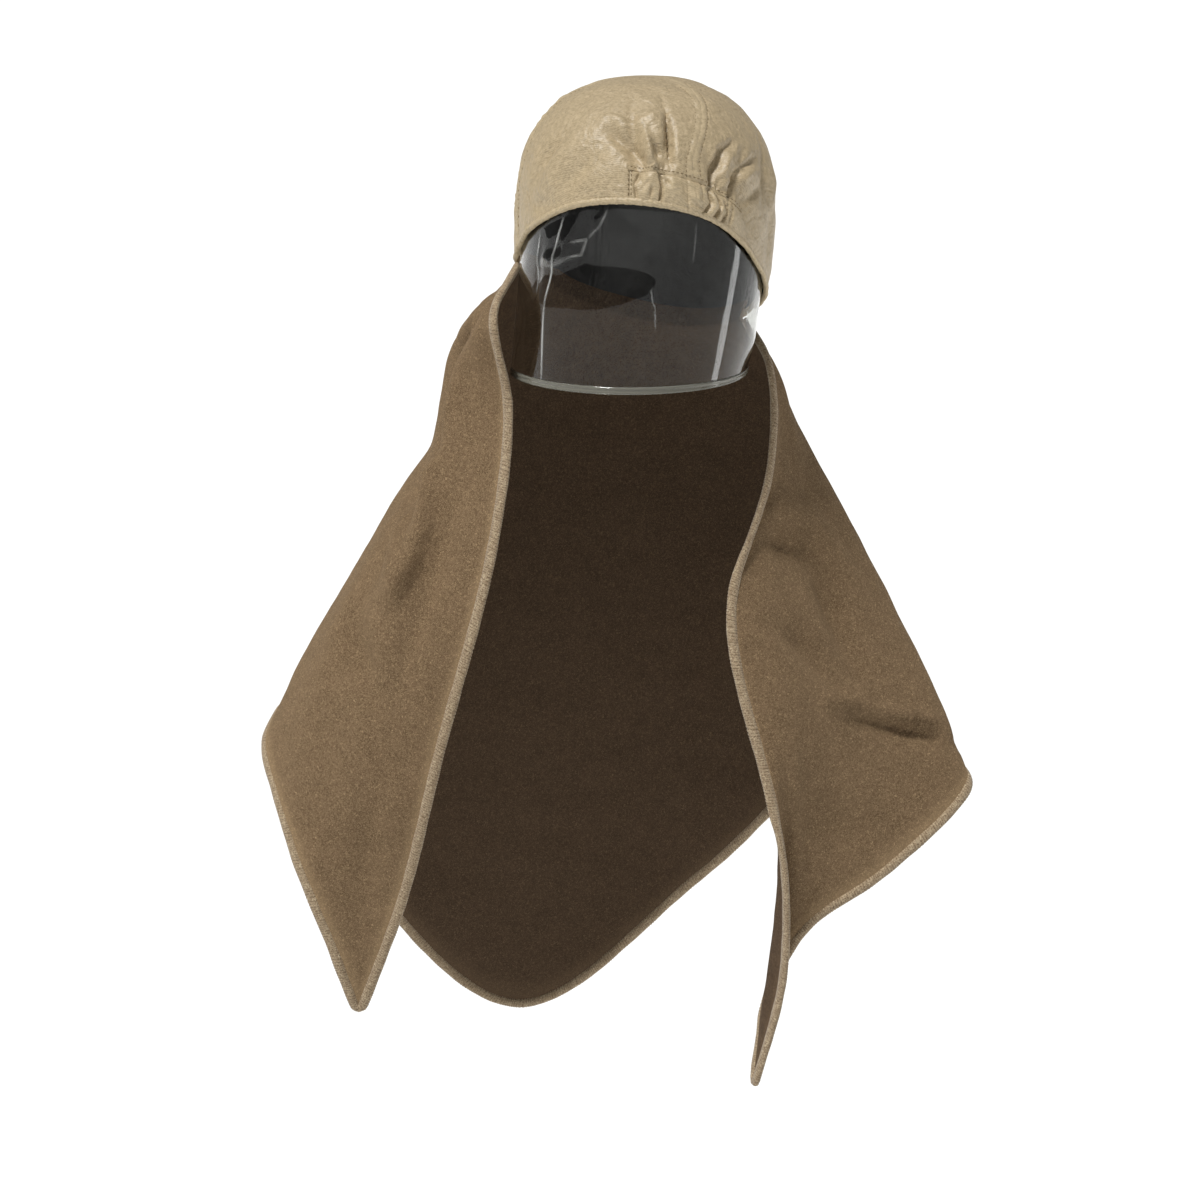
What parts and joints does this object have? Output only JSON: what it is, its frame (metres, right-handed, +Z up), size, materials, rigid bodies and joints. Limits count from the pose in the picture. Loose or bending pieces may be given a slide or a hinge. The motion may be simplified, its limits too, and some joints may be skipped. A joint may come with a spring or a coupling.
{
  "type": "turban hat",
  "caption": "Soft cotton cap with a gathered front, a long bound wool neck drape that ends in two front tails and a back point, and a clear front visor.",
  "frame": {"origin": "where the head's vertical axis meets the height of the temples, inside the cap", "axes": "+Z up towards the crown, -Y towards the face side, +X to the right seen from the face side"},
  "size_m": [0.5575, 0.2615, 0.8075],
  "materials": {
    "khaki_cotton": "satin-weave cotton, soft sheen, creased",
    "wool_flannel": "brushed wool flannel with a short nap, matt",
    "wool_whipping": "thick whipped yarn edge, matt",
    "clear_vinyl": "clear flexible vinyl, glossy"
  },
  "bodies": {
    "root": {"crown_panel_front_left": "khaki_cotton", "crown_panel_front_right": "khaki_cotton", "crown_panel_back_left": "khaki_cotton", "crown_panel_back_right": "khaki_cotton", "elastic_casing": "khaki_cotton", "wool_drape": "wool_flannel", "edge_binding": "wool_whipping", "clear_visor": "clear_vinyl", "visor_binding": "clear_vinyl"}
  },
  "joints": []
}
